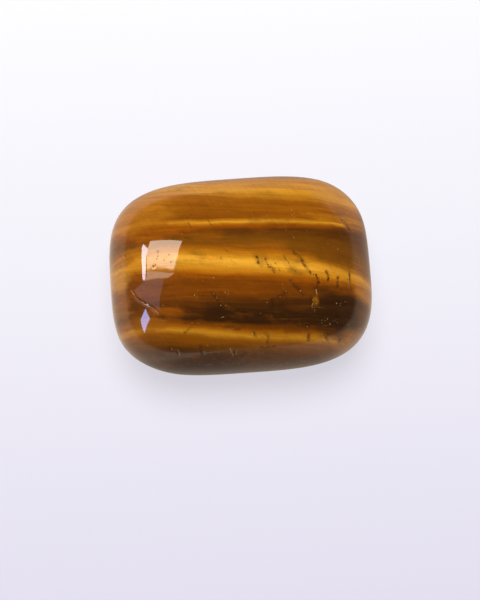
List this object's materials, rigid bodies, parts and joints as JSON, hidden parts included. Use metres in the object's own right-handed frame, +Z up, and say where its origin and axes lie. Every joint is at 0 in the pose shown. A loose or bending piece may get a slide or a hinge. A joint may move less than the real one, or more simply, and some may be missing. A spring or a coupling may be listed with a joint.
{
  "type": "tumbled tigers eye stone",
  "caption": "Polished pillow-shaped pebble of tiger's eye with silky gold and brown seams, lying on the worn flat of its underside.",
  "frame": {"origin": "bottom centre of the stone's box, on the surface that it lies on", "axes": "+X along the length of the stone, +Y across its seams, +Z up through the crown"},
  "size_m": [0.03, 0.0224, 0.0152],
  "materials": {
    "tigers_eye_stone": "high polish over silky golden and brown fibre bands"
  },
  "bodies": {
    "root": {"tigers_eye": "tigers_eye_stone"}
  },
  "joints": []
}
